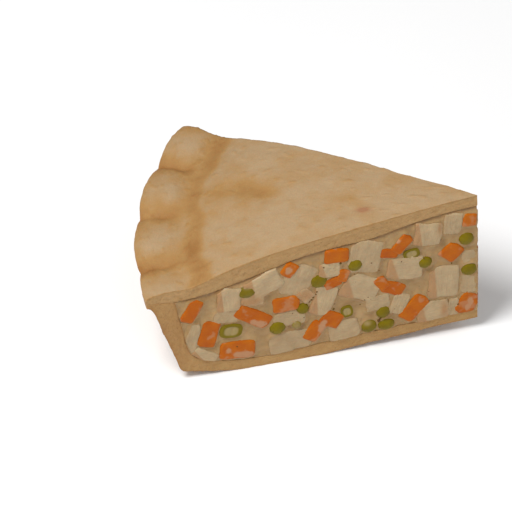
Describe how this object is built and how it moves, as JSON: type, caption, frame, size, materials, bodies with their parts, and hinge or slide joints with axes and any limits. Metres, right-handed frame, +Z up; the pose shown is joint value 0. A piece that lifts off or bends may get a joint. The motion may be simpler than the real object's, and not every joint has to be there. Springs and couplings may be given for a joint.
{
  "type": "slice of chicken pie",
  "caption": "Wedge of deep chicken pie: domed crimped lid and pastry shell round a creamy filling of chicken, carrot and peas, cut to a point.",
  "frame": {"origin": "centre of the bounding box's underside, on the surface that the slice stands on", "axes": "+X from the crimped rim to the pointed tip, +Z up, +Y towards the cut face that the picture hides"},
  "size_m": [0.1246, 0.0955, 0.065],
  "materials": {
    "top_crust": "baked pastry, matte with a faint glaze",
    "bottom_crust": "baked pastry, matte",
    "sauce": "thick cream sauce, soft sheen",
    "chicken": "cooked chicken, moist",
    "carrot": "cooked carrot, moist",
    "pea": "cooked pea skin, moist",
    "pepper": "ground pepper and herb specks"
  },
  "bodies": {
    "root": {"bottom_crust": "bottom_crust", "filling": "sauce", "top_crust": "top_crust"}
  },
  "joints": []
}
